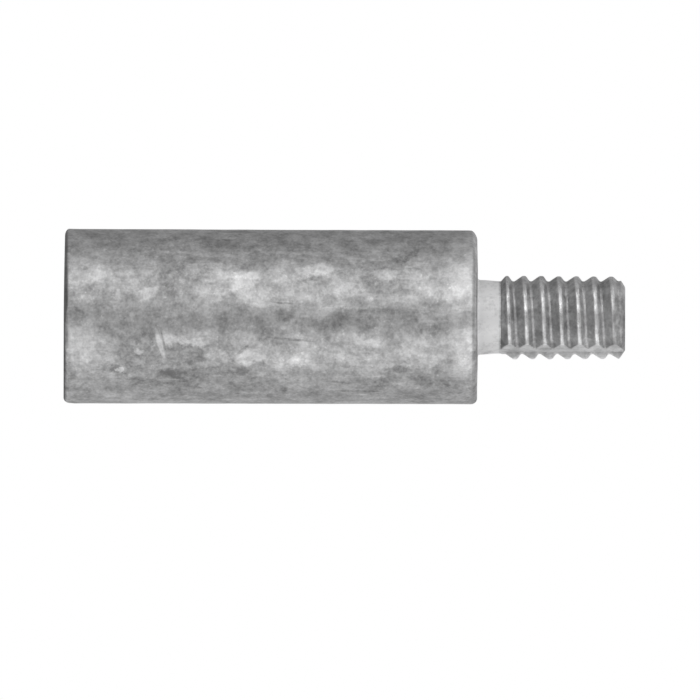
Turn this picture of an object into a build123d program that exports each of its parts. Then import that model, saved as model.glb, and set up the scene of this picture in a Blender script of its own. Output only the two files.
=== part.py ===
"""Pencil anode: a cast zinc cylinder with a threaded stud, made in one piece.

The stud screws into the plug that closes an engine's cooling passage or a heat exchanger, until
the shoulder of the body seats on the plug. The zinc then corrodes in place of the metal around it.

The anode stands on the flat end of its body. The origin is the centre of that end face, and +Z
runs along the axis towards the stud. All sizes are in millimetres.
"""
import os
from math import cos, radians, tan

from build123d import *

# Body: a plain round bar, half an inch across
body_diameter = 12.70
body_length = 30.05
base_edge_radius = 0.36
shoulder_edge_radius = 0.44

# Neck: the plain stretch between the shoulder and the thread
neck_length = 1.70
neck_base_diameter = 5.39
neck_end_diameter = 5.25
neck_foot_bevel = 0.10

# Thread: right-handed, 20 turns to the inch, for a 1/4 inch hole and cast a little under size
thread_pitch = 1.27
thread_length = 9.05
crest_diameter = 6.05
root_diameter = 5.28

# The ridge's section along the axis: its long flank faces the body, and takes what the crest,
# the short flank and the gap between two turns leave of the pitch
crest_width = 0.20
crest_bevel = 0.08
tip_flank_run = 0.35
foot_gap = 0.04

# The ridge's feet lie a little under the core's surface, and its seat fills the core below them
foot_sink = 0.02
seat_depth = 0.30

# Ends of the thread: a steep bevel at the neck and a longer one at the tip
start_bevel_length = 0.33
tip_bevel_length = 0.46
tip_face_diameter = 4.40
tip_edge_radius = 0.25

# Turns of the ridge that are swept beyond the thread's two ends and trimmed off. The first also
# sets where round the stud the thread starts.
run_in_turns = 1.19
run_out_turns = 0.80

# Flat: a face along the whole stud, cast by one half of the mould, which opens at mould_angle.
# It leans by the draft, and ends at the parting plane in a step up to the full thread.
flat_distance = 2.58
flat_draft = 9.6
mould_angle = -97.6

# How far the cutting shapes reach past the crest
cutter_reach = 0.50

# Places along the axis
thread_start = body_length + neck_length
thread_end = thread_start + thread_length
ridge_start = thread_start - run_in_turns * thread_pitch
ridge_height = (run_in_turns + run_out_turns) * thread_pitch + thread_length
core_start = ridge_start - thread_pitch
core_end = ridge_start + ridge_height + thread_pitch

# Places across it
neck_end_radius = neck_end_diameter / 2
root_radius = root_diameter / 2
foot_radius = root_radius - foot_sink
crest_radius = crest_diameter / 2
tip_face_radius = tip_face_diameter / 2
cutter_radius = crest_radius + cutter_reach

# Cut of the flat, seen along the axis, with the mould half's opening direction as X
parting_distance = flat_distance / cos(radians(flat_draft))
flat_drop = cutter_radius * tan(radians(flat_draft))

# Corners of the ridge's section
crest_near_body = ridge_start - crest_width / 2
crest_near_tip = ridge_start + crest_width / 2
foot_near_tip = crest_near_tip + tip_flank_run
foot_near_body = foot_near_tip - thread_pitch + foot_gap

# Rise of the two bevels for each millimetre of radius
start_bevel_slope = start_bevel_length / (crest_radius - neck_end_radius)
tip_bevel_slope = tip_bevel_length / (crest_radius - tip_face_radius)


# Threaded stud: a plain core, and round it a ridge swept along a helix
with BuildPart() as threaded_stud:
    with BuildSketch(Plane.XY.offset(core_start)):
        Circle(root_radius)
    extrude(amount=core_end - core_start)

    with BuildLine():
        Helix(thread_pitch, ridge_height, root_radius, center=(0, 0, ridge_start))
    with BuildSketch(Plane.XZ) as ridge_section:
        with BuildLine():
            Polyline(
                (foot_radius - seat_depth, foot_near_body),
                (foot_radius, foot_near_body),
                (crest_radius, crest_near_body),
                (crest_radius, crest_near_tip),
                (foot_radius, foot_near_tip),
                (foot_radius - seat_depth, foot_near_tip),
                close=True,
            )
        make_face()
        chamfer(ridge_section.vertices().group_by(Axis.X)[-1], length=crest_bevel)
    sweep(is_frenet=True)

    # Both ends are cut square, then beveled
    split(bisect_by=Plane.XY.offset(thread_start), keep=Keep.TOP)
    split(bisect_by=Plane.XY.offset(thread_end), keep=Keep.BOTTOM)
    with BuildSketch(Plane.XZ):
        with BuildLine():
            Polyline(
                (neck_end_radius, thread_start),
                (cutter_radius, thread_start),
                (cutter_radius, thread_start + start_bevel_slope * (cutter_radius - neck_end_radius)),
                close=True,
            )
        make_face()
    revolve(axis=Axis.Z, mode=Mode.SUBTRACT)
    with BuildSketch(Plane.XZ):
        with BuildLine():
            Polyline(
                (tip_face_radius, thread_end),
                (cutter_radius, thread_end),
                (cutter_radius, thread_end - tip_bevel_slope * (cutter_radius - tip_face_radius)),
                close=True,
            )
        make_face()
    revolve(axis=Axis.Z, mode=Mode.SUBTRACT)
    fillet(threaded_stud.faces().sort_by(Axis.Z)[-1].edges(), radius=tip_edge_radius)


# The whole casting: body, neck and stud in one solid
with BuildPart() as pencil_anode:
    with BuildSketch(Plane.XZ) as body_section:
        with BuildLine():
            Polyline(
                (0, 0),
                (body_diameter / 2, 0),
                (body_diameter / 2, body_length),
                (neck_base_diameter / 2, body_length),
                (neck_end_radius, thread_start),
                (0, thread_start),
                close=True,
            )
        make_face()
    revolve(axis=Axis.Z)
    add(threaded_stud.part)

    rims = pencil_anode.edges().filter_by(GeomType.CIRCLE)
    fillet(rims.filter_by_position(Axis.Z, 0, 0), radius=base_edge_radius)
    shoulder_rims = rims.filter_by_position(Axis.Z, body_length, body_length).sort_by(SortBy.LENGTH)
    fillet(shoulder_rims[-1], radius=shoulder_edge_radius)
    chamfer(shoulder_rims[0], length=neck_foot_bevel)

    with BuildSketch(Plane.XY.offset(body_length).rotated((0, 0, mould_angle))):
        with BuildLine():
            Polyline(
                (0, parting_distance),
                (cutter_radius, parting_distance - flat_drop),
                (cutter_radius, cutter_radius),
                (0, cutter_radius),
                close=True,
            )
        make_face()
    extrude(amount=thread_end - body_length, mode=Mode.SUBTRACT)

pencil_anode.part.label = "pencil_anode"

os.makedirs("parts", exist_ok=True)
export_step(pencil_anode.part, "parts/pencil_anode.step")
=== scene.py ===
"""Looks of a pencil anode: a zinc casting with a plain round body, a short neck and a threaded stud.

The casting stands on the flat end of its body, with its axis along +Z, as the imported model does.
Sizes are in metres, and angles in radians, where a class says nothing else.
"""

import logging
import math
from collections.abc import Callable
from dataclasses import dataclass, replace
from enum import Enum

import bmesh
import bpy
from mathutils import Matrix, Vector


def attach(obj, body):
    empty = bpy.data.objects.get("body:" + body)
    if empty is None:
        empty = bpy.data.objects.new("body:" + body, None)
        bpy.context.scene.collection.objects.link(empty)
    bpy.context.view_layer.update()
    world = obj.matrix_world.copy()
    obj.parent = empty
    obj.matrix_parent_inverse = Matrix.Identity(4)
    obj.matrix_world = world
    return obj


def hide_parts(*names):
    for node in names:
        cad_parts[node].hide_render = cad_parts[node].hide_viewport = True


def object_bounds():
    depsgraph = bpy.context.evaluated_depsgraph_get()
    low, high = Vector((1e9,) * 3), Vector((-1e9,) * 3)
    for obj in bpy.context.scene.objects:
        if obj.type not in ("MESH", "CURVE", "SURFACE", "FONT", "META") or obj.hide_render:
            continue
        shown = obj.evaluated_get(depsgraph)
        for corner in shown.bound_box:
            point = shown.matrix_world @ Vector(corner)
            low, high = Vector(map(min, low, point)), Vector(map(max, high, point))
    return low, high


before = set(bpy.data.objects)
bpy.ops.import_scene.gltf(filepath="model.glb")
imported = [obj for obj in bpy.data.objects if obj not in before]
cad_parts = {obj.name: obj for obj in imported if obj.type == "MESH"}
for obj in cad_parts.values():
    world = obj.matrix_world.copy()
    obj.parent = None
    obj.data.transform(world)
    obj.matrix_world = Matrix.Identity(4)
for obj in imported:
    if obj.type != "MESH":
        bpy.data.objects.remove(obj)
cad_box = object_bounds()

MM = 0.001
MERGE_DISTANCE = 0.0005 * MM
NODE = "pencil_anode"
BODY = "root"

log = logging.getLogger("anode")

Socket = bpy.types.NodeSocket


class Slot(Enum):
    """Material slots, whose names the materials take."""

    CAST_ZINC = "cast_zinc"


class Element(Enum):
    """What a selection on the bench holds."""

    POINTS = "VERT"
    EDGES = "EDGE"
    FACES = "FACE"


def radius_of(point: Vector) -> float:
    """Distance of a point from the casting's axis."""
    return math.hypot(point.x, point.y)


def soft_minimum(first: float, second: float, blend: float) -> float:
    """The smaller of two values, with a rounded change from one to the other.

    Args:
        first: One value.
        second: The other value.
        blend: The difference below which the two are blended.

    Returns:
        The blended minimum.
    """
    overlap = max(blend - abs(first - second), 0.0) / blend
    return min(first, second) - overlap * overlap * blend / 4


def add_primitive(
    name: str, operator: Callable[..., object], **settings: object
) -> bpy.types.Object:
    """Adds a primitive at its size and place, with nothing else selected.

    Args:
        name: Name of the new object.
        operator: The bpy.ops function that adds it.
        **settings: Its size and place.

    Returns:
        The new object, selected and active.
    """
    bpy.ops.object.select_all(action="DESELECT")
    operator(**settings)
    piece = bpy.context.object
    piece.name = name
    piece.data.name = name
    return piece


class Bench:
    """A mesh in edit mode. Selections are made by place, and operators then act on them."""

    def __init__(self, piece: bpy.types.Object) -> None:
        """Remembers the piece to work on.

        Args:
            piece: The mesh object.
        """
        self.piece = piece

    def __enter__(self) -> "Bench":
        """Opens edit mode on the piece alone.

        Returns:
            The bench.
        """
        bpy.ops.object.select_all(action="DESELECT")
        bpy.context.view_layer.objects.active = self.piece
        self.piece.select_set(True)
        bpy.ops.object.mode_set(mode="EDIT")
        return self

    def __exit__(self, *error: object) -> None:
        """Closes edit mode."""
        bpy.ops.object.mode_set(mode="OBJECT")

    def pick(self, element: Element, wanted: Callable[[object], bool]) -> int:
        """Selects the wanted elements and nothing else.

        Args:
            element: Whether points, edges or faces are picked.
            wanted: Says of one vertex, edge or face whether it is picked.

        Returns:
            How many were picked.
        """
        bpy.ops.mesh.select_mode(type=element.value)
        bpy.ops.mesh.select_all(action="DESELECT")
        mesh = bmesh.from_edit_mesh(self.piece.data)
        kinds = {Element.POINTS: mesh.verts, Element.EDGES: mesh.edges, Element.FACES: mesh.faces}
        picked = [part for part in kinds[element] if wanted(part)]
        for part in picked:
            part.select_set(True)
        mesh.select_flush_mode()
        bmesh.update_edit_mesh(self.piece.data)
        return len(picked)

    def pick_all(self) -> None:
        """Selects the whole mesh."""
        bpy.ops.mesh.select_all(action="SELECT")

    def pick_open_rim(self, height: float) -> int:
        """Selects the open rim that lies at one height.

        Args:
            height: Its place along the axis.

        Returns:
            How many edges it has.
        """
        def on_rim(edge: bmesh.types.BMEdge) -> bool:
            """True for an edge of one face whose ends both lie at the height."""
            level = all(abs(vertex.co.z - height) < MERGE_DISTANCE for vertex in edge.verts)
            return edge.is_boundary and level

        return self.pick(Element.EDGES, on_rim)

    def extrude(self, step: Vector) -> None:
        """Extrudes the selection by a step."""
        bpy.ops.mesh.extrude_region_move(TRANSFORM_OT_translate={"value": tuple(step)})

    def scale_across(self, factor: float, height: float) -> None:
        """Scales the selection towards the axis, at one height."""
        bpy.ops.transform.resize(value=(factor, factor, 1.0), center_override=(0.0, 0.0, height))

    def cut(self, place: Vector, normal: Vector, trim: bool = False) -> None:
        """Cuts the whole mesh by a plane.

        Args:
            place: A point of the plane.
            normal: The plane's direction.
            trim: Whether what lies in front of the plane is removed.
        """
        self.pick_all()
        bpy.ops.mesh.bisect(
            plane_co=place, plane_no=normal, clear_outer=trim, threshold=MERGE_DISTANCE
        )

    def reshape(self, new_place: Callable[[Vector], Vector]) -> None:
        """Moves every vertex.

        Args:
            new_place: Gives a vertex's new place from its old one.
        """
        mesh = bmesh.from_edit_mesh(self.piece.data)
        for vertex in mesh.verts:
            vertex.co = new_place(vertex.co)
        bmesh.update_edit_mesh(self.piece.data)

    def split_long_edges(self, longest: float) -> None:
        """Halves edges until none is longer than a limit."""
        while self.pick(Element.EDGES, lambda edge: edge.calc_length() > longest):
            bpy.ops.mesh.subdivide(number_cuts=1)

    def tidy(self) -> None:
        """Merges doubles and turns the faces outwards."""
        self.pick_all()
        bpy.ops.mesh.remove_doubles(threshold=MERGE_DISTANCE)
        bpy.ops.mesh.normals_make_consistent(inside=False)


@dataclass(frozen=True)
class Corner:
    """A corner of an outline in the XZ plane, which is turned round the axis."""

    radius: float
    height: float
    rounding: float = 0.0

    def place(self) -> Vector:
        """The corner's point."""
        return Vector((self.radius, 0.0, self.height))


@dataclass
class Turning:
    """An outline that is drawn as a ribbon, rounded at its corners and swept round the axis."""

    name: str
    corners: list[Corner]
    steps: int
    longest_edge: float
    rise: float = 0.0
    turns: int = 1
    rounding_segments: int = 4
    ribbon_width: float = 0.5 * MM

    def sweep(self) -> bpy.types.Object:
        """Draws the outline and sweeps it.

        Returns:
            The open or closed shell.
        """
        piece = self._draw_ribbon()
        with Bench(piece) as bench:
            for before, corner, after in zip(self.corners, self.corners[1:], self.corners[2:]):
                if corner.rounding:
                    self._round_corner(bench, before, corner, after)
            bench.pick(Element.POINTS, lambda vertex: vertex.co.y > 0.0)
            bpy.ops.mesh.delete(type="VERT")
            bench.pick_all()
            bpy.ops.transform.translate(value=(0.0, self.ribbon_width / 2, 0.0))
            bench.split_long_edges(self.longest_edge)
        screw = piece.modifiers.new("sweep", "SCREW")
        screw.axis = "Z"
        screw.angle = math.tau
        screw.screw_offset = self.rise
        screw.iterations = self.turns
        screw.steps = self.steps
        screw.render_steps = self.steps
        screw.use_merge_vertices = True
        screw.merge_threshold = MERGE_DISTANCE
        bpy.ops.object.modifier_apply(modifier=screw.name)
        with Bench(piece) as bench:
            bench.tidy()
        return piece

    def _draw_ribbon(self) -> bpy.types.Object:
        """Extrudes a short edge along the outline.

        Returns:
            The ribbon.
        """
        first = self.corners[0].place()
        piece = add_primitive(
            self.name,
            bpy.ops.mesh.primitive_plane_add,
            size=self.ribbon_width,
            location=first + Vector((self.ribbon_width / 2, 0.0, 0.0)),
        )
        bpy.ops.object.transform_apply(location=True, rotation=True, scale=True)
        edge_limit = first.x + self.ribbon_width / 2
        with Bench(piece) as bench:
            bench.pick(Element.POINTS, lambda vertex: vertex.co.x > edge_limit)
            bpy.ops.mesh.delete(type="VERT")
            bench.pick(Element.EDGES, lambda edge: True)
            for start, end in zip(self.corners, self.corners[1:]):
                bench.extrude(end.place() - start.place())
        return piece

    def _round_corner(self, bench: Bench, before: Corner, corner: Corner, after: Corner) -> None:
        """Bevels the ribbon's edge at one corner into an arc.

        Args:
            bench: The ribbon's bench.
            before: The corner before it.
            corner: The corner to round.
            after: The corner after it.
        """
        place = corner.place()
        turn = (place - before.place()).angle(after.place() - place)

        def crosses(edge: bmesh.types.BMEdge) -> bool:
            """True for the ribbon's edge that crosses it at the corner."""
            middle = (edge.verts[0].co + edge.verts[1].co) / 2
            return (middle - place).length < MERGE_DISTANCE

        bench.pick(Element.EDGES, crosses)
        bpy.ops.mesh.bevel(
            offset=corner.rounding * math.tan(turn / 2),
            segments=self.rounding_segments,
            affect="EDGES",
        )


@dataclass
class ThreadedStud:
    """The neck and the coarse cast thread, with the flat that one half of the mould left on it."""

    # Places along the axis
    shoulder: float = 30.05 * MM
    start: float = 31.75 * MM
    end: float = 40.80 * MM

    # Thread: its ridge has a long flank towards the body and a short one towards the tip
    pitch: float = 1.27 * MM
    crest_radius: float = 3.025 * MM
    root_radius: float = 2.62 * MM
    crest_width: float = 0.26 * MM
    crest_rounding: float = 0.20 * MM
    crest_taper: float = 0.05 * MM
    body_flank: float = 0.57 * MM
    tip_flank: float = 0.29 * MM
    root_rounding: float = 0.15 * MM
    crest_height_at_x: float = 30.24 * MM

    # The ridge starts gradually, from a little before the thread's start
    run_in: float = 0.35 * MM
    run_in_lead: float = 0.10 * MM

    # Neck
    neck_base_radius: float = 2.695 * MM
    neck_end_radius: float = 2.625 * MM
    neck_fillet: float = 0.16 * MM

    # Ends of the thread: the tip's bevel leans, and the last gap is half filled on its other side
    start_bevel: float = 0.33 * MM
    tip_bevel: float = 0.50 * MM
    tip_face_radius: float = 2.20 * MM
    tip_rounding: float = 0.25 * MM
    end_blend: float = 0.16 * MM
    tip_lean: float = 0.07 * MM
    tip_fill: float = 0.06 * MM
    fill_depth: float = 0.65 * MM
    fill_reach: float = 0.35 * MM

    # Misfit of the mould's halves. The seam's angles are counted from the parting plane.
    front_direction: float = math.radians(-97.6)
    front_drop: float = 0.137 * MM
    front_skew: float = 0.023
    back_rise: float = 0.035 * MM
    back_swell: float = 0.085 * MM
    seam_start: float = math.radians(7.6)
    seam_end: float = math.radians(20.0)

    # Flat, which ends in a step at the parting plane
    flat_distance: float = 2.60 * MM
    flat_draft: float = math.radians(9.6)
    step_angle: float = math.radians(2.0)

    # Fineness of the mesh
    steps: int = 180
    turns: int = 10
    longest_edge: float = 0.09 * MM
    ring_gap: float = 0.20 * MM
    fillet_rings: int = 4
    tip_ring_scales: tuple[float, ...] = (0.85, 0.80, 0.75, 0.65, 0.50)

    def build(self) -> bpy.types.Object:
        """Models the stud from the shoulder to the tip.

        Returns:
            A shell that is open at the shoulder.
        """
        stud = self._wind_thread()
        with Bench(stud) as bench:
            bench.reshape(self._misalign)
            self._trim_ends(bench)
            bench.reshape(self._mould)
            self._press_flat(bench)
            self._close_tip(bench)
            self._draw_neck(bench)
            bench.tidy()
        return stud

    def front(self) -> Vector:
        """The opening direction of the mould's front half."""
        return Matrix.Rotation(self.front_direction, 3, "Z") @ Vector((1.0, 0.0, 0.0))

    def flat_normal(self) -> Vector:
        """The direction that the flat faces."""
        return Matrix.Rotation(math.radians(90.0) - self.flat_draft, 3, "Z") @ self.front()

    def _wind_thread(self) -> bpy.types.Object:
        """Sweeps one turn of the ridge's outline along the helix.

        Returns:
            A shell that reaches past both ends of the thread.
        """
        crest = self.crest_height_at_x
        half_crest = self.crest_width / 2
        seam_radius = (self.crest_radius + self.root_radius) / 2
        seam_height = crest - half_crest - self.body_flank / 2
        tip_foot = crest + half_crest + self.tip_flank
        next_body_foot = crest + self.pitch - half_crest - self.body_flank
        return Turning(
            name="threaded_stud",
            corners=[
                Corner(seam_radius, seam_height),
                Corner(self.crest_radius, crest - half_crest, self.crest_rounding),
                Corner(self.crest_radius, crest + half_crest, self.crest_rounding),
                Corner(self.root_radius, tip_foot, self.root_rounding),
                Corner(self.root_radius, next_body_foot, self.root_rounding),
                Corner(seam_radius, seam_height + self.pitch),
            ],
            steps=self.steps,
            longest_edge=self.longest_edge,
            rise=self.pitch,
            turns=self.turns,
            rounding_segments=3,
        ).sweep()

    def _trim_ends(self, bench: Bench) -> None:
        """Cuts the thread square at both ends.

        Args:
            bench: The stud's bench.
        """
        up = Vector((0.0, 0.0, 1.0))
        bench.cut(up * self.start, -up, trim=True)
        bench.cut(up * self.end, up, trim=True)

    def _front_share(self, place: Vector) -> float:
        """How far a place belongs to the mould's front half.

        Args:
            place: The place.

        Returns:
            0 on the back half and 1 on the front half, with a change between them over the seam.
        """
        sine = place.dot(self.front()) / radius_of(place)
        seam = math.sin(self.seam_end) - math.sin(self.seam_start)
        return min(max((sine - math.sin(self.seam_start)) / seam, 0.0), 1.0)

    def _misalign(self, place: Vector) -> Vector:
        """Moves the thread's halves as the mould's halves lay, and starts the ridge gradually.

        Args:
            place: A place on the wound thread.

        Returns:
            Its new place.
        """
        radius = radius_of(place)
        share = self._front_share(place)
        front_move = -self.front_drop - self.front_skew * place.x
        move = share * front_move + (1.0 - share) * self.back_rise
        half_root = (self.pitch - self.crest_width - self.body_flank - self.tip_flank) / 2
        root_to_crest = self.pitch - self.crest_width / 2 - self.tip_flank - half_root
        lead = self.crest_height_at_x + self.pitch * math.atan2(place.y, place.x) / math.tau
        past_root = (place.z - lead + root_to_crest) % self.pitch
        crest = place.z - past_root + root_to_crest + move
        missing = 1.0 - min(max((crest - self.start + self.run_in_lead) / self.run_in, 0.0), 1.0)
        factor = 1.0 - missing * max(radius - self.root_radius, 0.0) / radius
        return Vector((place.x * factor, place.y * factor, place.z + move))

    def _mould(self, place: Vector) -> Vector:
        """Tapers the crests, keeps the ends inside their bevels and swells the back half.

        Args:
            place: A place on the trimmed thread.

        Returns:
            Its new place.
        """
        radius = radius_of(place)
        along = (place.z - self.start) / (self.end - self.start)
        share = max((radius - self.root_radius) / (self.crest_radius - self.root_radius), 0.0)
        flat_side = max(place.x, 0.0) / radius
        other_side = max(-place.x, 0.0) / radius
        start_slope = (self.crest_radius - self.neck_end_radius) / self.start_bevel
        start_limit = self.neck_end_radius + start_slope * (place.z - self.start)
        depth = self.end - place.z
        filled = max(1.0 - abs(depth - self.fill_depth) / self.fill_reach, 0.0)
        new_radius = radius - self.crest_taper * along * share
        new_radius = soft_minimum(new_radius, start_limit, self.end_blend)
        tip_limit = self._tip_limit(depth + self.tip_lean * flat_side)
        new_radius = soft_minimum(new_radius, tip_limit, self.end_blend)
        new_radius += self.tip_fill * filled * (1.0 - share) * other_side
        new_radius += self.back_swell * (1.0 - self._front_share(place)) * flat_side
        factor = new_radius / radius
        return Vector((place.x * factor, place.y * factor, min(place.z, self.end)))

    def _tip_limit(self, depth: float) -> float:
        """The outline of the tip's bevel and of its rounded edge.

        Args:
            depth: How far below the tip's face.

        Returns:
            The radius there.
        """
        angle = math.atan2(self.tip_bevel, self.crest_radius - self.tip_face_radius)
        face_rim = self.tip_face_radius - self.tip_rounding * math.tan(angle / 2)
        if depth < self.tip_rounding * (1.0 - math.cos(angle)):
            return face_rim + math.sqrt(max(depth * (2 * self.tip_rounding - depth), 0.0))
        return self.tip_face_radius + depth / math.tan(angle)

    def _press_flat(self, bench: Bench) -> None:
        """Presses the flat, and cuts the step where the back half of the mould begins.

        Args:
            bench: The stud's bench.
        """
        flat = self.flat_normal()
        step_foot = Matrix.Rotation(-self.step_angle, 3, "Z") @ self.front()
        bench.cut(flat * self.flat_distance, flat)
        bench.cut(Vector(), self.front())
        bench.cut(Vector(), step_foot)

        def pressed(place: Vector) -> Vector:
            """The place, or its foot on the flat if it stands proud before the step."""
            proud = max(place.dot(flat) - self.flat_distance, 0.0)
            return place if place.dot(step_foot) < -MERGE_DISTANCE else place - flat * proud

        bench.reshape(pressed)

    def _close_tip(self, bench: Bench) -> None:
        """Fills the tip's face with rings.

        Args:
            bench: The stud's bench.
        """
        bench.pick_open_rim(self.end)
        for scale in self.tip_ring_scales:
            bench.extrude(Vector())
            bench.scale_across(scale, self.end)
        bpy.ops.mesh.merge(type="CENTER")

    def _draw_neck(self, bench: Bench) -> None:
        """Extrudes the thread's open rim down the neck and out into the shoulder's fillet.

        Args:
            bench: The stud's bench.
        """
        fillet_top = self.shoulder + self.neck_fillet
        rings = math.ceil((self.start - fillet_top) / self.ring_gap)
        levels = []
        for ring in range(1, rings + 1):
            share = ring / rings
            levels.append((
                self.start + share * (fillet_top - self.start),
                self.neck_end_radius + share * (self.neck_base_radius - self.neck_end_radius),
            ))
        for ring in range(1, self.fillet_rings + 1):
            angle = math.radians(90.0) * ring / self.fillet_rings
            levels.append((
                fillet_top - self.neck_fillet * math.sin(angle),
                self.neck_base_radius + self.neck_fillet * (1.0 - math.cos(angle)),
            ))
        bench.pick_open_rim(self.start)
        height, radius = self.start, self.neck_end_radius
        for next_height, next_radius in levels:
            bench.extrude(Vector((0.0, 0.0, next_height - height)))
            bench.scale_across(next_radius / radius, next_height)
            height, radius = next_height, next_radius


@dataclass
class CastBody:
    """The plain round body, from its end face to the inner edge of its shoulder.

    Its near side faces -X and its far side +X.
    """

    radius: float = cad_box[1].x
    shoulder: float = 30.05 * MM
    base_rounding: float = 0.36 * MM
    shoulder_rounding: float = 0.44 * MM
    inner_radius: float = 3.10 * MM

    # Draft and wear
    draft: float = 0.05 * MM
    end_wear: float = 0.09 * MM
    end_wear_reach: float = 1.5 * MM
    near_rim_wear: float = 0.13 * MM
    near_rim_reach: float = 0.3 * MM
    far_rim_wear: float = 0.085 * MM
    far_rim_reach: float = 0.8 * MM
    shoulder_wear: float = 0.35 * MM
    shoulder_wear_reach: float = 0.55 * MM

    # Swell of the shoulder's face
    bulge: float = 0.04 * MM
    bulge_radius: float = 5.3 * MM
    bulge_top_radius: float = 3.4 * MM

    # Fineness of the mesh
    steps: int = 180
    longest_edge: float = 0.26 * MM

    def build(self) -> bpy.types.Object:
        """Models the body.

        Returns:
            A shell that is open where the stud meets it.
        """
        body = Turning(
            name="anode_body",
            corners=[
                Corner(0.0, 0.0),
                Corner(self.radius, 0.0, self.base_rounding),
                Corner(self.radius, self.shoulder, self.shoulder_rounding),
                Corner(self.inner_radius, self.shoulder),
            ],
            steps=self.steps,
            longest_edge=self.longest_edge,
            rounding_segments=6,
        ).sweep()
        with Bench(body) as bench:
            bench.reshape(self._wear)
        return body

    def _wear(self, place: Vector) -> Vector:
        """Rounds the rims off, each side as far as it is worn.

        Args:
            place: A place on the turned body.

        Returns:
            Its new place.
        """
        near = max(-place.x, 0.0) / self.radius
        far = max(place.x, 0.0) / self.radius
        from_shoulder = max(self.shoulder - place.z, 0.0)
        at_end = max(1.0 - place.z / self.end_wear_reach, 0.0)
        at_near_rim = max(1.0 - place.z / self.near_rim_reach, 0.0)
        at_far_rim = max(1.0 - place.z / self.far_rim_reach, 0.0)
        at_shoulder = max(1.0 - from_shoulder / self.shoulder_wear_reach, 0.0)
        inward = (
            self.draft * near * place.z / self.shoulder
            + self.near_rim_wear * near * at_near_rim**2
            + self.far_rim_wear * far * at_far_rim
            + self.shoulder_wear * near**2 * at_shoulder**2
        )
        factor = 1.0 - inward / self.radius
        lift = self.end_wear * near**1.5 * at_end**2
        return Vector((place.x * factor, place.y * factor, place.z + lift))


@dataclass(frozen=True)
class Relief:
    """Shallow unevenness of the cast skin, over one stretch of the axis."""

    name: str
    patch_size: float
    depth: float
    start: float
    end: float
    fade: float = 0.8 * MM
    detail: int = 2

    def press(self, piece: bpy.types.Object) -> None:
        """Presses the unevenness inwards.

        Args:
            piece: The casting, with its place in its mesh.
        """
        group = piece.vertex_groups.new(name=self.name)
        for vertex in piece.data.vertices:
            weight = self._weight(vertex.co)
            if weight > 0.0:
                group.add((vertex.index,), weight, "REPLACE")
        clouds = bpy.data.textures.new(self.name, "CLOUDS")
        clouds.noise_scale = self.patch_size
        clouds.noise_depth = self.detail
        displace = piece.modifiers.new(self.name, "DISPLACE")
        displace.texture = clouds
        displace.texture_coords = "LOCAL"
        displace.mid_level = 1.0
        displace.strength = self.depth
        displace.vertex_group = self.name
        bpy.ops.object.modifier_apply(modifier=displace.name)
        piece.vertex_groups.clear()

    def _weight(self, place: Vector) -> float:
        """How deep the relief is at a place, from 0 to 1."""
        inside = min(place.z - self.start, self.end - place.z)
        return min(max(inside / self.fade, 0.0), 1.0)


@dataclass
class PencilAnode:
    """The whole casting in one mesh."""

    body: CastBody
    stud: ThreadedStud
    reliefs: tuple[Relief, ...]
    smooth_angle: float = math.radians(35.0)

    def build(self) -> bpy.types.Object:
        """Joins body and stud and gives them their cast skin.

        Returns:
            The finished piece.
        """
        body = self.body.build()
        stud = self.stud.build()
        bpy.ops.object.select_all(action="DESELECT")
        stud.select_set(True)
        body.select_set(True)
        bpy.context.view_layer.objects.active = body
        bpy.ops.object.join()
        body.name = "anode_casting"
        with Bench(body) as bench:
            bench.pick_open_rim(self.stud.shoulder)
            bpy.ops.mesh.bridge_edge_loops()
            bench.tidy()
            bench.reshape(self._swell_shoulder)
        for relief in self.reliefs:
            relief.press(body)
        return body

    def dress(self, casting: bpy.types.Object, material: bpy.types.Material) -> None:
        """Puts the piece in its node's place, and gives it its material and smooth shading.

        Args:
            casting: The finished piece.
            material: Its material.
        """
        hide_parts(NODE)
        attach(casting, BODY)
        casting.data.materials.clear()
        casting.data.materials.append(material)
        with Bench(casting) as bench:
            bench.pick_all()
        bpy.ops.object.shade_smooth_by_angle(angle=self.smooth_angle)

    def _swell_shoulder(self, place: Vector) -> Vector:
        """Raises the shoulder's face round the neck, most at the sides.

        Args:
            place: A place on the joined casting.

        Returns:
            Its new place.
        """
        radius = radius_of(place)
        above = place.z - self.stud.shoulder
        if radius > self.body.bulge_radius or above < -MERGE_DISTANCE:
            return place
        side = abs(place.x) / max(radius, MM)
        slope_width = self.body.bulge_radius - self.body.bulge_top_radius
        up_slope = min((self.body.bulge_radius - radius) / slope_width, 1.0)
        fading = max(1.0 - above / self.stud.run_in, 0.0)
        return place + Vector((0.0, 0.0, self.body.bulge * side * up_slope * fading))


@dataclass(frozen=True)
class Ramp:
    """A smooth change from one value to another between two places, held beyond them."""

    start: float
    end: float
    before: float = 0.0
    after: float = 1.0

    def shifted(self, distance: float) -> "Ramp":
        """The same change at places moved by a distance."""
        return replace(self, start=self.start + distance, end=self.end + distance)


@dataclass(frozen=True)
class Skin:
    """Sockets that say where a point of the casting's skin lies."""

    place: Socket
    x: Socket
    y: Socket
    height: Socket
    radius: Socket


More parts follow.
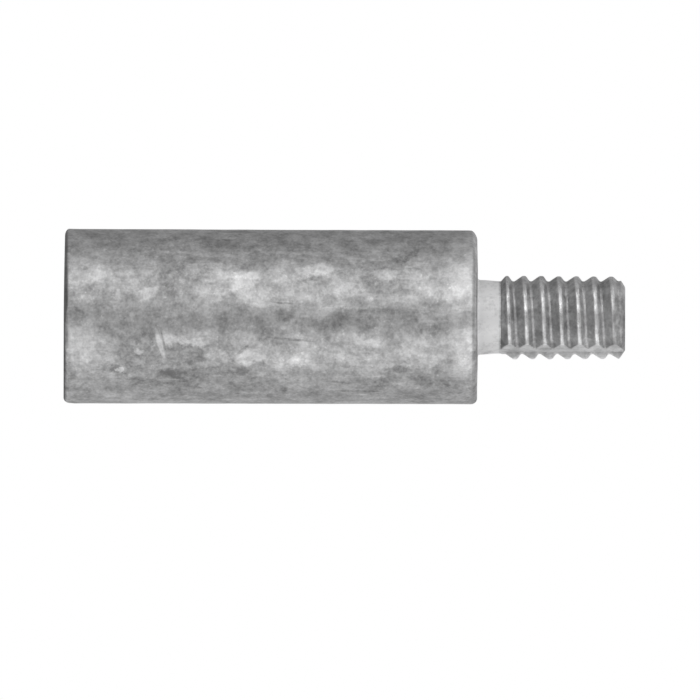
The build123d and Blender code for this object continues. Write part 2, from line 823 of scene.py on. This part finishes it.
class NodeDesk:
    """A material's node tree, with short ways to add what the finishes need."""

    def __init__(self, name: str) -> None:
        """Makes a material with an empty tree.

        Args:
            name: The material's name.
        """
        self.material = bpy.data.materials.new(name)
        self.material.use_nodes = True
        self.tree = self.material.node_tree
        self.tree.nodes.clear()

    def finish(self, shader: bpy.types.Node) -> bpy.types.Material:
        """Leads a shader to the surface, and returns the material."""
        self.feed(self.add("ShaderNodeOutputMaterial"), surface=shader.outputs[0])
        return self.material

    def add(self, kind: str, **settings: object) -> bpy.types.Node:
        """Adds a node.

        Args:
            kind: Its type.
            **settings: Its properties.

        Returns:
            The node.
        """
        node = self.tree.nodes.new(kind)
        for key, value in settings.items():
            setattr(node, key, value)
        return node

    def connect(self, socket: Socket, value: object) -> None:
        """Links or sets one input.

        Args:
            socket: The input.
            value: The socket that it is linked to, or its value.
        """
        if isinstance(value, Socket):
            self.tree.links.new(value, socket)
        else:
            socket.default_value = value

    def feed(self, node: bpy.types.Node, **inputs: object) -> bpy.types.Node:
        """Links or sets a node's inputs.

        Args:
            node: The node.
            **inputs: Socket names in lower case with underscores, each with a socket or a value.

        Returns:
            The same node.
        """
        names = {socket.name.lower().replace(" ", "_"): socket for socket in reversed(node.inputs)}
        for key, value in inputs.items():
            self.connect(names[key], value)
        return node

    def math(self, operation: str, *values: object) -> Socket:
        """Adds a Math node.

        Args:
            operation: What it does.
            *values: Its inputs, each a socket or a number.

        Returns:
            Its result.
        """
        node = self.add("ShaderNodeMath", operation=operation)
        for socket, value in zip(node.inputs, values):
            self.connect(socket, value)
        return node.outputs[0]

    def vector(self, operation: str, *values: object) -> bpy.types.Node:
        """Adds a Vector Math node.

        Args:
            operation: What it does.
            *values: Its first inputs, each a socket or a vector.

        Returns:
            The node.
        """
        node = self.add("ShaderNodeVectorMath", operation=operation)
        for socket, value in zip(node.inputs, values):
            self.connect(socket, value)
        return node

    def total(self, first: object, *others: object) -> Socket:
        """Adds values up, one after another.

        Args:
            first: The first value, a socket or a number.
            *others: The other values.

        Returns:
            Their sum.
        """
        for other in others:
            first = self.math("ADD", first, other)
        return first

    def product(self, first: object, *others: object) -> Socket:
        """Multiplies values, one after another.

        Args:
            first: The first value, a socket or a number.
            *others: The other values.

        Returns:
            Their product.
        """
        for other in others:
            first = self.math("MULTIPLY", first, other)
        return first

    def ramp(self, value: Socket, ramp: Ramp) -> Socket:
        """Adds a smooth change.

        Args:
            value: Where on the ramp a point lies.
            ramp: The ramp.

        Returns:
            The ramp's value there.
        """
        node = self.add("ShaderNodeMapRange", interpolation_type="SMOOTHSTEP")
        self.feed(node, value=value, from_min=ramp.start, from_max=ramp.end)
        return self.feed(node, to_min=ramp.before, to_max=ramp.after).outputs[0]

    def skin(self) -> Skin:
        """Adds the nodes that say where a point lies, in the piece's own coordinates.

        Returns:
            Their sockets.
        """
        place = self.add("ShaderNodeTexCoord").outputs["Object"]
        x, y, height = self.feed(self.add("ShaderNodeSeparateXYZ"), vector=place).outputs
        squares = self.total(self.math("POWER", x, 2.0), self.math("POWER", y, 2.0))
        return Skin(place, x, y, height, self.math("SQRT", squares))


@dataclass(frozen=True)
class Noise:
    """Noise with patches of one size. A squeeze below 1 draws them out along the axis."""

    patch: float
    detail: float
    rough: float
    squeeze: float = 1.0

    def add(self, desk: NodeDesk, place: Socket) -> bpy.types.Node:
        """Adds the noise.

        Args:
            desk: The material's desk.
            place: The coordinates that it follows.

        Returns:
            The noise's node.
        """
        if self.squeeze != 1.0:
            squeezed = desk.add("ShaderNodeMapping")
            desk.feed(squeezed, vector=place, scale=(1.0, 1.0, self.squeeze))
            place = squeezed.outputs[0]
        node = desk.add("ShaderNodeTexNoise")
        desk.feed(node, vector=place, scale=1.0 / self.patch, detail=self.detail, roughness=self.rough)
        return node


@dataclass(frozen=True)
class Layer:
    """A layer of the mottled skin: noise, and the tones that it adds."""

    noise: Noise
    tones: Ramp

    def tone(self, desk: NodeDesk, skin: Skin) -> Socket:
        """The tone that the layer adds."""
        return desk.ramp(self.noise.add(desk, skin.place).outputs["Fac"], self.tones)


@dataclass(frozen=True)
class Bump:
    """Fine unevenness that only the light shows: noise, and its depth."""

    noise: Noise
    depth: float


@dataclass(frozen=True)
class Mark:
    """A stain, a rubbed spot or a scratch on the body's skin, in millimetres and degrees.

    Its place is counted along the axis from the end face, and round the skin from the side that
    faces -Y, towards +X. A positive shade is lighter than the skin, a negative one darker. The shade
    fades in between two ellipses, which are given as shares of the mark's own.
    """

    along: float
    around: float
    length: float
    width: float
    turn: float
    shade: float
    crisp: bool = False
    fade_start: float = 1.18
    fade_end: float = 0.52

    def tone(self, desk: NodeDesk, skin: Socket) -> Socket:
        """Adds the mark.

        Args:
            desk: The material's desk.
            skin: The unrolled skin's coordinates.

        Returns:
            Its shade inside its outline, and 0 outside.
        """
        outline = desk.add("ShaderNodeMapping", vector_type="TEXTURE")
        desk.feed(
            outline,
            vector=skin,
            location=(self.along * MM, self.around * MM, 0.0),
            rotation=(0.0, 0.0, math.radians(self.turn)),
            scale=(self.length * MM / 2, self.width * MM / 2, 1.0),
        )
        distance = desk.vector("LENGTH", outline.outputs[0]).outputs["Value"]
        return desk.ramp(distance, Ramp(self.fade_start, self.fade_end, 0.0, self.shade))


MARKS = (
    # Wide tones
    Mark(29.1, -1.2, 2.5, 14.1, 0, 0.26),
    Mark(27.3, -1.2, 5.1, 11.1, 0, 0.1),
    Mark(1.2, -2.0, 3.2, 13.7, 0, 0.14),
    Mark(8.6, 4.2, 5.1, 4.6, 0, -0.22),
    Mark(8.3, -3.1, 4.1, 3.6, -22, -0.18),
    Mark(4.8, 2.6, 4.1, 4.8, 0, -0.12),
    Mark(23.3, -3.2, 4.8, 4.7, 0, -0.08),
    Mark(21.0, 0.4, 5.5, 2.2, 8, -0.12),
    Mark(13.2, -2.0, 4.4, 3.4, 0, 0.08),
    Mark(17.5, 4.5, 4.1, 3.9, 0, 0.08),
    Mark(11.5, -6.0, 3.9, 2.9, 24, -0.12),
    Mark(14.8, 1.4, 2.9, 1.5, 0, -0.12),
    # Rubbed spots
    Mark(13.2, -2.7, 3.0, 1.3, -30, 0.42),
    Mark(13.4, 3.1, 2.2, 1.6, -17, 0.4),
    Mark(6.1, -1.7, 1.8, 1.1, -46, 0.34),
    Mark(2.4, -3.1, 1.9, 1.6, 0, 0.2),
    Mark(9.5, 1.9, 2.5, 0.84, 0, 0.34),
    Mark(7.8, 1.8, 1.3, 1.1, 0, 0.32),
    Mark(18.4, -3.6, 2.8, 1.2, -6, 0.42),
    Mark(15.8, -3.4, 1.2, 2.7, 12, 0.26),
    Mark(22.0, 1.8, 2.9, 0.91, 15, 0.34),
    Mark(17.2, 3.2, 1.9, 1.1, -28, 0.3),
    Mark(23.5, -3.1, 1.4, 1.3, 33, 0.3),
    Mark(28.7, -2.2, 2.2, 2.2, 0, 0.06),
    Mark(29.1, 2.6, 1.5, 2.4, 0, 0.18),
    Mark(4.2, 4.1, 0.65, 0.45, 0, 0.8),
    Mark(26.5, -2.0, 2.9, 1.4, 0, 0.12),
    Mark(20.8, -2.0, 2.8, 1.2, 0, 0.14),
    Mark(5.4, 2.6, 0.87, 0.55, 0, 0.5),
    Mark(11.0, 2.9, 1.8, 1.1, -22, 0.22),
    # Stains
    Mark(8.8, 2.9, 3.4, 1.7, 6, -0.40),
    Mark(7.5, 5.0, 1.9, 1.9, -59, -0.20),
    Mark(8.0, -3.2, 2.2, 1.1, -52, -0.34),
    Mark(4.0, 4.3, 1.7, 0.9, 57, -0.26),
    Mark(5.1, 5.4, 1.2, 1.1, 29, -0.24),
    Mark(11.9, -6.0, 2.6, 1.8, 44, -0.18),
    Mark(0.5, -1.2, 1.2, 1.8, 0, -0.26),
    Mark(20.3, 0.1, 2.8, 1.2, 20, -0.12),
    Mark(14.6, 1.9, 1.0, 0.68, 21, -0.36),
    Mark(26.1, 5.3, 1.9, 1.5, 28, -0.3),
    Mark(24.2, 4.1, 2.0, 0.63, 6, -0.3),
    Mark(22.2, -3.8, 1.5, 1.2, 0, -0.26),
    Mark(25.2, -4.9, 2.3, 0.62, -54, -0.26),
    Mark(17.8, -2.7, 2.2, 0.48, -7, -0.3),
    # Scratches and drawn lines
    Mark(7.0, 2.05, 2.5, 0.42, 74, 0.56, crisp=True),
    Mark(7.2, 1.6, 1.3, 0.17, 75, -0.32, crisp=True),
    Mark(15.9, -1.0, 1.7, 0.18, 4, -0.32, crisp=True),
    Mark(16.6, 1.7, 3.8, 0.21, 5, -0.28, crisp=True),
    Mark(21.2, 6.5, 3.6, 0.37, 2, -0.3, crisp=True),
    Mark(21.0, 7.0, 2.5, 0.35, 2, 0.18, crisp=True),
    Mark(19.9, 5.4, 2.6, 0.29, 5, -0.24, crisp=True),
    Mark(12.9, 2.6, 1.7, 0.26, -44, -0.3, crisp=True),
)


@dataclass(frozen=True)
class Mottle:
    """The mottled tone of the cast skin."""

    clouds: Layer = Layer(Noise(3.2 * MM, 2.0, 0.50), Ramp(0.30, 0.70, -0.10, 0.10))
    blotches: Layer = Layer(Noise(1.1 * MM, 4.0, 0.62), Ramp(0.28, 0.72, -0.22, 0.22))
    streaks: Layer = Layer(Noise(0.55 * MM, 3.0, 0.60, squeeze=0.22), Ramp(0.30, 0.70, -0.08, 0.08))
    speckle: Layer = Layer(Noise(0.33 * MM, 2.0, 0.50), Ramp(0.30, 0.70, -0.11, 0.11))
    grain: Layer = Layer(Noise(0.17 * MM, 1.0, 0.50), Ramp(0.30, 0.70, -0.09, 0.09))
    flecks: Layer = Layer(Noise(0.38 * MM, 3.0, 0.60), Ramp(0.62, 0.74, 0.0, 0.30))
    smudges: Layer = Layer(Noise(1.9 * MM, 5.0, 0.60), Ramp(0.57, 0.70, 0.0, -0.30))
    bright: Layer = Layer(Noise(1.0 * MM, 5.0, 0.60, squeeze=0.22), Ramp(0.56, 0.72, 0.0, 0.35))

    def tone(self, desk: NodeDesk, skin: Skin) -> Socket:
        """Adds the layers.

        Args:
            desk: The material's desk.
            skin: Where a point lies.

        Returns:
            The tone, about 1.
        """
        even = (self.clouds, self.blotches, self.streaks, self.speckle, self.grain)
        uneven = (self.flecks, self.smudges, self.bright)
        return desk.total(1.0, *(layer.tone(desk, skin) for layer in even + uneven))


@dataclass(frozen=True)
class BodyMarks:
    """The marks on the body. All but the crisp ones have ragged outlines."""

    marks: tuple[Mark, ...]
    body: CastBody
    wander: Noise = Noise(0.8 * MM, 4.0, 0.65)
    raggedness: float = 1.4 * MM
    darkest: float = -0.36
    before_shoulder: Ramp = Ramp(0.02 * MM, -0.15 * MM)

    def tone(self, desk: NodeDesk, skin: Skin) -> Socket:
        """Adds the marks.

        Args:
            desk: The material's desk.
            skin: Where a point lies.

        Returns:
            The tone that they add.
        """
        unrolled = self._unroll(desk, skin)
        wander = self.wander.add(desk, skin.place).outputs["Color"]
        push = desk.add("ShaderNodeVectorMath", operation="SCALE")
        centred = desk.vector("SUBTRACT", wander, (0.5, 0.5, 0.5)).outputs[0]
        desk.feed(push, vector=centred, scale=self.raggedness)
        ragged = desk.vector("ADD", unrolled, push.outputs[0]).outputs[0]
        tones = (mark.tone(desk, unrolled if mark.crisp else ragged) for mark in self.marks)
        tone = desk.math("MAXIMUM", desk.total(0.0, *tones), self.darkest)
        on_body = desk.ramp(skin.height, self.before_shoulder.shifted(self.body.shoulder))
        return desk.product(tone, on_body)

    def _unroll(self, desk: NodeDesk, skin: Skin) -> Socket:
        """Gives a point its distance along the axis, and the distance round the skin.

        Args:
            desk: The material's desk.
            skin: Where a point lies.

        Returns:
            The two distances as coordinates.
        """
        angle = desk.math("ARCTAN2", skin.x, desk.product(skin.y, -1.0))
        unrolled = desk.add("ShaderNodeCombineXYZ")
        desk.feed(unrolled, x=skin.height, y=desk.product(angle, self.body.radius))
        return unrolled.outputs[0]


@dataclass(frozen=True)
class RimBandsAndPaintedLight:
    """The body's ends: lighter bands beside the rims, painted shade on the rounding of each rim, and a
    painted highlight on the far side.
    """

    shoulder_band: Ramp = Ramp(28.9 * MM, 29.5 * MM, 1.0, 1.12)
    end_band: Ramp = Ramp(0.90 * MM, 0.35 * MM, 1.0, 1.12)
    # Painted shade: a dark ring on the shoulder's rounding, on the sides that face ±Y
    ring_start: Ramp = Ramp(29.62 * MM, 29.76 * MM, 0.0, 0.34)
    ring_end: Ramp = Ramp(29.82 * MM, 29.90 * MM, 1.0, 0.30)
    ring_side: Ramp = Ramp(4.4 * MM, 5.3 * MM, 1.0, 0.0)
    # Painted shade: a dark edge along the end face's rim, wider towards -X, and a painted highlight just
    # past it on the far side
    edge_shade_width: Ramp = Ramp(-1.0 * MM, 1.0 * MM, 0.26 * MM, 0.10 * MM)
    edge: Ramp = Ramp(0.05 * MM, -0.04 * MM, 0.0, 0.56)
    glint_start: Ramp = Ramp(0.02 * MM, 0.08 * MM, 0.0, 0.42)
    glint_end: Ramp = Ramp(0.28 * MM, 0.18 * MM)
    glint_side: Ramp = Ramp(1.5 * MM, 2.5 * MM)
    outside: Ramp = Ramp(5.6 * MM, 5.9 * MM)

    def factor(self, desk: NodeDesk, skin: Skin) -> Socket:
        """Adds the lighter bands, the painted shade on the rims and the painted highlight.

        Args:
            desk: The material's desk.
            skin: Where a point lies.

        Returns:
            What the skin's tone is multiplied by.
        """
        bands = desk.product(
            desk.ramp(skin.height, self.shoulder_band), desk.ramp(skin.height, self.end_band)
        )
        # Painted shade on the shoulder's rounding
        ring = desk.product(
            desk.ramp(skin.height, self.ring_start),
            desk.ramp(skin.height, self.ring_end),
            desk.ramp(desk.math("ABSOLUTE", skin.x), self.ring_side),
        )
        # Painted shade along the end face's rim
        past_edge = desk.math("SUBTRACT", skin.height, desk.ramp(skin.x, self.edge_shade_width))
        # Painted highlight just past that edge, on the far side
        glint = desk.product(
            desk.ramp(past_edge, self.glint_start),
            desk.ramp(past_edge, self.glint_end),
            desk.ramp(skin.x, self.glint_side),
        )
        # worn holds the lighter bands, less the painted shade of the ring and of the end face's rim
        worn = desk.math("SUBTRACT", bands, ring)
        worn = desk.math("SUBTRACT", worn, desk.ramp(past_edge, self.edge))
        change = desk.math("SUBTRACT", desk.total(worn, glint), 1.0)
        return desk.total(desk.product(change, desk.ramp(skin.radius, self.outside)), 1.0)


@dataclass(frozen=True)
class ThreadTone:
    """The stud's tones: rubbed crests, painted shade in the roots, and a tip that is light on one side."""

    stud: ThreadedStud
    onset: Ramp = Ramp(0.0, 0.1 * MM)
    thread: float = 0.10
    crest_radius: Ramp = Ramp(2.95 * MM, 3.01 * MM)
    crest: float = 0.42
    dull_height: Ramp = Ramp(39.45 * MM, 39.60 * MM)
    dull_side: Ramp = Ramp(-1.1 * MM, -0.5 * MM)
    # Painted shade: the thread's roots are darkened
    root_radius: Ramp = Ramp(2.74 * MM, 2.64 * MM)
    root: float = -0.08
    tip_height: Ramp = Ramp(39.75 * MM, 39.95 * MM)
    tip_sides: Ramp = Ramp(-1.9 * MM, -0.7 * MM, 0.20, -0.30)
    before_flat: Ramp = Ramp(2.40 * MM, 2.20 * MM)

    def on_thread(self, desk: NodeDesk, skin: Skin) -> Socket:
        """1 on the thread, and 0 below it."""
        return desk.ramp(skin.height, self.onset.shifted(self.stud.start))

    def on_crests(self, desk: NodeDesk, skin: Skin) -> Socket:
        """Where the crests are rubbed, which the last one isn't on one side.

        Args:
            desk: The material's desk.
            skin: Where a point lies.

        Returns:
            1 on the rubbed crests, and 0 elsewhere.
        """
        taper = self.stud.crest_taper / (self.stud.end - self.stud.start)
        past_start = desk.math("SUBTRACT", skin.height, self.stud.start)
        untapered = desk.total(skin.radius, desk.product(past_start, taper))
        dull = desk.product(
            desk.ramp(skin.height, self.dull_height), desk.ramp(skin.x, self.dull_side)
        )
        return desk.product(
            desk.ramp(untapered, self.crest_radius),
            self.on_thread(desk, skin),
            desk.math("SUBTRACT", 1.0, dull),
        )

    def tone(self, desk: NodeDesk, skin: Skin, on_crests: Socket) -> Socket:
        """Adds the stud's tones.

        Args:
            desk: The material's desk.
            skin: Where a point lies.
            on_crests: 1 on the rubbed crests, and 0 elsewhere.

        Returns:
            The tone that they add.
        """
        on_thread = self.on_thread(desk, skin)
        on_tip = desk.product(
            desk.ramp(skin.height, self.tip_height), desk.ramp(skin.x, self.before_flat)
        )
        return desk.total(
            desk.product(on_crests, self.crest),
            # Painted shade in the roots
            desk.product(desk.ramp(skin.radius, self.root_radius), on_thread, self.root),
            desk.product(on_thread, self.thread),
            desk.product(on_tip, desk.ramp(skin.x, self.tip_sides)),
        )


@dataclass(frozen=True)
class StepFootShade:
    """Painted shade: the dark line at the foot of the step where the halves of the mould met."""

    stud: ThreadedStud
    start: Ramp = Ramp(0.0, 0.06 * MM)
    end: Ramp = Ramp(0.42 * MM, 0.26 * MM)
    side: Ramp = Ramp(2.45 * MM, 2.55 * MM)
    shade: Ramp = Ramp(35.4 * MM, 36.6 * MM, 0.10, 0.36)

    def tone(self, desk: NodeDesk, skin: Skin) -> Socket:
        """Adds the line.

        Args:
            desk: The material's desk.
            skin: Where a point lies.

        Returns:
            The tone that it takes away.
        """
        in_front = desk.vector("DOT_PRODUCT", skin.place, self.stud.front()).outputs["Value"]
        return desk.product(
            desk.ramp(in_front, self.start),
            desk.ramp(in_front, self.end),
            desk.ramp(skin.x, self.side),
            desk.ramp(skin.height, self.shade),
        )


@dataclass(frozen=True)
class MatteSkin:
    """The pale matte skin of the neck and of the stud's flat, and painted light in the fillet at the neck's
    foot.
    """

    stud: ThreadedStud
    past_shoulder: Ramp = Ramp(0.05 * MM, 0.20 * MM)
    painted_light_foot_radius: Ramp = Ramp(2.95 * MM, 2.80 * MM)
    painted_light_foot_height: Ramp = Ramp(-0.10 * MM, -0.05 * MM)
    before_thread: Ramp = Ramp(0.05 * MM, -0.20 * MM)
    flat: Ramp = Ramp(2.52 * MM, 2.56 * MM, 0.0, 0.50)

    def share(self, desk: NodeDesk, skin: Skin) -> Socket:
        """Says where the skin is matte, with the neck's foot made matte and pale as painted light.

        Args:
            desk: The material's desk.
            skin: Where a point lies.

        Returns:
            1 where it is matte, and 0 where it isn't.
        """
        shoulder = self.stud.shoulder
        # Painted light: the fillet at the neck's foot joins the pale matte skin, to lighten the shade that
        # falls in that corner
        foot = desk.product(
            desk.ramp(skin.radius, self.painted_light_foot_radius),
            desk.ramp(skin.height, self.painted_light_foot_height.shifted(shoulder)),
        )
        above = desk.ramp(skin.height, self.past_shoulder.shifted(shoulder))
        above = desk.math("MAXIMUM", above, foot)
        neck = desk.ramp(skin.height, self.before_thread.shifted(self.stud.start))
        outward = desk.vector("DOT_PRODUCT", skin.place, self.stud.flat_normal()).outputs["Value"]
        flat = desk.ramp(outward, self.flat)
        return desk.math("MAXIMUM", desk.product(above, neck), desk.product(flat, above))


@dataclass(frozen=True)
class CastZinc:
    """Bare die-cast zinc: dull, mottled and faintly stained, with rubbed crests, lighter bands, painted
    shade and a painted highlight at the rims, painted shade in the roots and at the step's foot, and painted
    light at the neck's foot.
    """

    body: CastBody
    stud: ThreadedStud
    marks: tuple[Mark, ...]
    mottle: Mottle = Mottle()
    # Lighter bands beside the rims, painted shade on them, and a painted highlight on the far side
    rims: RimBandsAndPaintedLight = RimBandsAndPaintedLight()

    # Tones, as shares of the zinc's grey
    grey: float = 0.49
    lowest_tone: float = 0.44
    tone_blend: float = 0.50
    matte_tone: float = 0.95

    # Colour
    darkest: float = 0.03
    lightest: float = 0.98
    blueness: float = 1.005

    # Gloss
    metallic: Ramp = Ramp(0.0, 1.0, 1.0, 0.45)
    patches: Layer = Layer(Noise(0.9 * MM, 3.0, 0.60), Ramp(0.30, 0.70, 0.36, 0.48))
    crest_polish: float = 0.12
    matte_roughness: float = 0.18

    # Hills, grains and drawn lines
    bumps: tuple[Bump, ...] = (
        Bump(Noise(1.5 * MM, 3.0, 0.55), 0.030 * MM),
        Bump(Noise(0.45 * MM, 3.0, 0.60), 0.009 * MM),
        Bump(Noise(0.35 * MM, 2.0, 0.50, squeeze=0.3), 0.004 * MM),
    )

    def material(self) -> bpy.types.Material:
        """Builds the finish.

        Returns:
            The material.
        """
        desk = NodeDesk(Slot.CAST_ZINC.value)
        skin = desk.skin()
        thread = ThreadTone(self.stud)
        on_crests = thread.on_crests(desk, skin)
        matte = MatteSkin(self.stud).share(desk, skin)
        marks = BodyMarks(self.marks, self.body).tone(desk, skin)
        tone = desk.total(self.mottle.tone(desk, skin), marks)
        # Lighter bands, painted shade and a painted highlight at the body's rims
        tone = desk.product(tone, self.rims.factor(desk, skin))
        tone = desk.math("SMOOTH_MAX", tone, self.lowest_tone, self.tone_blend)
        # Rubbed crests, painted shade in the thread's roots, and the tip's tones
        tone = desk.total(tone, thread.tone(desk, skin, on_crests))
        # Painted shade at the foot of the step
        tone = desk.math("SUBTRACT", tone, StepFootShade(self.stud).tone(desk, skin))
        # Pale matte neck and flat, with painted light at the neck's foot
        tone = desk.total(tone, desk.product(matte, self.matte_tone))
        roughness = desk.math(
            "SUBTRACT", self.patches.tone(desk, skin), desk.product(on_crests, self.crest_polish)
        )
        shader = desk.add("ShaderNodeBsdfPrincipled")
        desk.feed(
            shader,
            base_color=self._colour(desk, tone),
            metallic=desk.ramp(matte, self.metallic),
            roughness=desk.total(roughness, desk.product(matte, self.matte_roughness)),
            normal=self._normal(desk, skin),
        )
        return desk.finish(shader)

    def _colour(self, desk: NodeDesk, tone: Socket) -> Socket:
        """The zinc's grey at a tone, a trace bluer than neutral.

        Args:
            desk: The material's desk.
            tone: The tone.

        Returns:
            The colour.
        """
        value = desk.product(tone, self.grey)
        value = desk.math("MINIMUM", desk.math("MAXIMUM", value, self.darkest), self.lightest)
        colour = desk.add("ShaderNodeCombineColor")
        desk.feed(colour, red=value, green=value, blue=desk.product(value, self.blueness))
        return colour.outputs[0]

    def _normal(self, desk: NodeDesk, skin: Skin) -> Socket:
        """Adds the fine unevenness.

        Args:
            desk: The material's desk.
            skin: Where a point lies.

        Returns:
            The normal.
        """
        normal = None
        for bump in self.bumps:
            node = desk.add("ShaderNodeBump")
            pattern = bump.noise.add(desk, skin.place).outputs["Fac"]
            desk.feed(node, height=pattern, strength=1.0, distance=bump.depth)
            if normal is not None:
                desk.feed(node, normal=normal)
            normal = node.outputs[0]
        return normal


@dataclass(frozen=True)
class Softbox:
    """A soft light that faces the casting. Its angles are in degrees, its azimuth from the camera."""

    name: str
    azimuth: float
    elevation: float
    width: float
    height: float
    radiance: float

    def hang(self, centre: Vector, distance: float) -> None:
        """Adds the light.

        Args:
            centre: The point it faces.
            distance: How far from that point it hangs.
        """
        turn = math.radians(self.azimuth)
        tilt = math.radians(self.elevation)
        outward = Vector((math.sin(turn) * math.cos(tilt), -math.cos(turn) * math.cos(tilt), math.sin(tilt)))
        bpy.ops.object.light_add(type="AREA", location=centre + outward * distance)
        light = bpy.context.object
        light.name = self.name
        light.rotation_euler = outward.to_track_quat("Z", "Y").to_euler()
        light.data.shape = "RECTANGLE"
        light.data.size = 2 * distance * math.tan(math.radians(self.width / 2))
        light.data.size_y = 2 * distance * math.tan(math.radians(self.height / 2))
        light.data.energy = self.radiance * math.pi * light.data.size * light.data.size_y
        light.visible_camera = False


SOFTBOXES = (
    Softbox("upper_strip_a", -60.0, 0.0, 15.0, 30.0, 1.18),
    Softbox("upper_strip_b", -45.0, 0.0, 15.0, 30.0, 0.44),
    Softbox("upper_strip_c", -30.0, 0.0, 15.0, 30.0, 1.67),
    Softbox("lower_strip_a", 30.0, 0.0, 15.0, 30.0, 1.07),
    Softbox("lower_strip_b", 45.0, 0.0, 15.0, 30.0, 0.48),
    Softbox("lower_strip_c", 60.0, 0.0, 15.0, 30.0, 1.31),
    Softbox("front_box", 0.0, 0.0, 45.0, 30.0, 0.26),
    Softbox("upper_side_box", -90.0, 0.0, 45.0, 30.0, 0.19),
    Softbox("lower_side_box", 90.0, 0.0, 45.0, 30.0, 0.375),
    Softbox("upper_back_box", -142.5, 0.0, 60.0, 30.0, 0.06),
    Softbox("lower_back_box", 142.5, 0.0, 60.0, 30.0, 0.36),
    Softbox("tip_box_a", -30.0, 35.0, 30.0, 30.0, 0.63),
    Softbox("tip_box_b", 30.0, 35.0, 30.0, 30.0, 0.32),
    Softbox("tip_box_c", -60.0, 35.0, 30.0, 30.0, 0.42),
    Softbox("tip_box_d", -90.0, 35.0, 30.0, 30.0, 0.565),
    Softbox("tip_box_e", 60.0, 35.0, 30.0, 30.0, 0.65),
    Softbox("tip_box_f", 90.0, 35.0, 30.0, 30.0, 0.64),
    Softbox("tip_box_g", -150.0, 35.0, 30.0, 30.0, 0.23),
    Softbox("tip_box_h", 180.0, 35.0, 30.0, 30.0, 0.233),
    Softbox("tip_box_i", 150.0, 35.0, 30.0, 30.0, 0.215),
    Softbox("end_box_a", 60.0, -35.0, 30.0, 30.0, 0.175),
    Softbox("end_box_b", 90.0, -35.0, 30.0, 30.0, 0.175),
    Softbox("end_box_c", -90.0, -35.0, 30.0, 30.0, 0.16),
    Softbox("far_tip_box_a", 0.0, 75.0, 60.0, 30.0, 0.354),
    Softbox("far_tip_box_b", 180.0, 75.0, 60.0, 30.0, 0.354),
)


@dataclass
class Studio:
    """Plain pale floor, white backdrop, soft lights and the camera."""

    lights: tuple[Softbox, ...]

    # Frame, in metres to the pixel and in pixels
    scale: float = 0.07265 * MM
    frame_pixels: int = 700
    end_face_pixel: float = 63.6
    axis_pixel: float = 316.7
    camera_roll: float = math.radians(0.12)

    # Places
    camera_distance: float = 0.30
    light_distance: float = 0.60
    light_centre: float = 0.02
    floor_radius: float = 0.50
    floor_sides: int = 96
    backdrop_radius: float = 0.60

    # Tones
    floor_grey: float = 0.90
    surround_grey: float = 0.289

    def set_up(self) -> list[bpy.types.Object]:
        """Adds everything.

        Returns:
            The floor and the backdrop.
        """
        stage = [self._lay_floor(), self._hang_backdrop()]
        for light in self.lights:
            light.hang(Vector((0.0, 0.0, self.light_centre)), self.light_distance)
        self._set_world()
        self._place_camera()
        return stage

    def _lay_floor(self) -> bpy.types.Object:
        """Adds the floor's disc.

        Returns:
            The floor.
        """
        floor = add_primitive(
            "floor",
            bpy.ops.mesh.primitive_circle_add,
            vertices=self.floor_sides,
            radius=self.floor_radius,
            fill_type="NGON",
        )
        desk = NodeDesk("floor_paint")
        paint = desk.add("ShaderNodeBsdfDiffuse")
        desk.feed(paint, color=(self.floor_grey, self.floor_grey, self.floor_grey, 1.0))
        self._show_to_camera(floor, desk.finish(paint))
        return floor

    def _hang_backdrop(self) -> bpy.types.Object:
        """Adds the white backdrop all round.

        Returns:
            The backdrop.
        """
        dome = add_primitive(
            "backdrop", bpy.ops.mesh.primitive_uv_sphere_add, radius=self.backdrop_radius
        )
        bpy.ops.object.shade_smooth()
        desk = NodeDesk("backdrop_white")
        white = desk.add("ShaderNodeEmission")
        desk.feed(white, color=(1.0, 1.0, 1.0, 1.0), strength=1.0)
        self._show_to_camera(dome, desk.finish(white))
        return dome

    def _show_to_camera(self, piece: bpy.types.Object, material: bpy.types.Material) -> None:
        """Paints a piece of the stage and hides it from the casting's light.

        Args:
            piece: The piece.
            material: Its paint.
        """
        piece.data.materials.append(material)
        piece.visible_diffuse = False
        piece.visible_glossy = False
        piece.visible_shadow = False

    def _set_world(self) -> None:
        """Sets a dim grey surround."""
        world = bpy.data.worlds.new("surround")
        bpy.context.scene.world = world
        world.use_nodes = True
        grey = (self.surround_grey, self.surround_grey, self.surround_grey, 1.0)
        world.node_tree.nodes["Background"].inputs["Color"].default_value = grey

    def _place_camera(self) -> None:
        """Adds the camera: it looks along +Y, with the casting's axis to the right."""
        centre = self.frame_pixels / 2
        across = (centre - self.axis_pixel) * self.scale
        along = (centre - self.end_face_pixel) * self.scale
        bpy.ops.object.camera_add(location=(across, -self.camera_distance, along))
        camera = bpy.context.object
        camera.name = "camera"
        level = Matrix(((0.0, -1.0, 0.0), (0.0, 0.0, -1.0), (1.0, 0.0, 0.0)))
        camera.rotation_euler = (level @ Matrix.Rotation(self.camera_roll, 3, "Z")).to_euler()
        camera.data.type = "ORTHO"
        camera.data.ortho_scale = self.frame_pixels * self.scale
        scene = bpy.context.scene
        scene.camera = camera
        scene.view_settings.view_transform = "Standard"


def main() -> None:
    """Builds the casting and the studio round it, and reports each piece."""
    logging.basicConfig(level=logging.INFO, format="%(name)s: %(message)s")
    body = CastBody()
    stud = ThreadedStud()
    reliefs = (
        Relief("body_relief", 2.6 * MM, 0.03 * MM, 0.4 * MM, 30.3 * MM),
        Relief("stud_relief", 0.9 * MM, 0.05 * MM, 30.6 * MM, 41.2 * MM),
    )
    anode = PencilAnode(body, stud, reliefs)
    casting = anode.build()
    anode.dress(casting, CastZinc(body, stud, MARKS).material())
    for piece in (casting, *Studio(SOFTBOXES).set_up()):
        log.info("%s: %d faces", piece.name, len(piece.data.polygons))


if __name__ == "__main__":
    main()
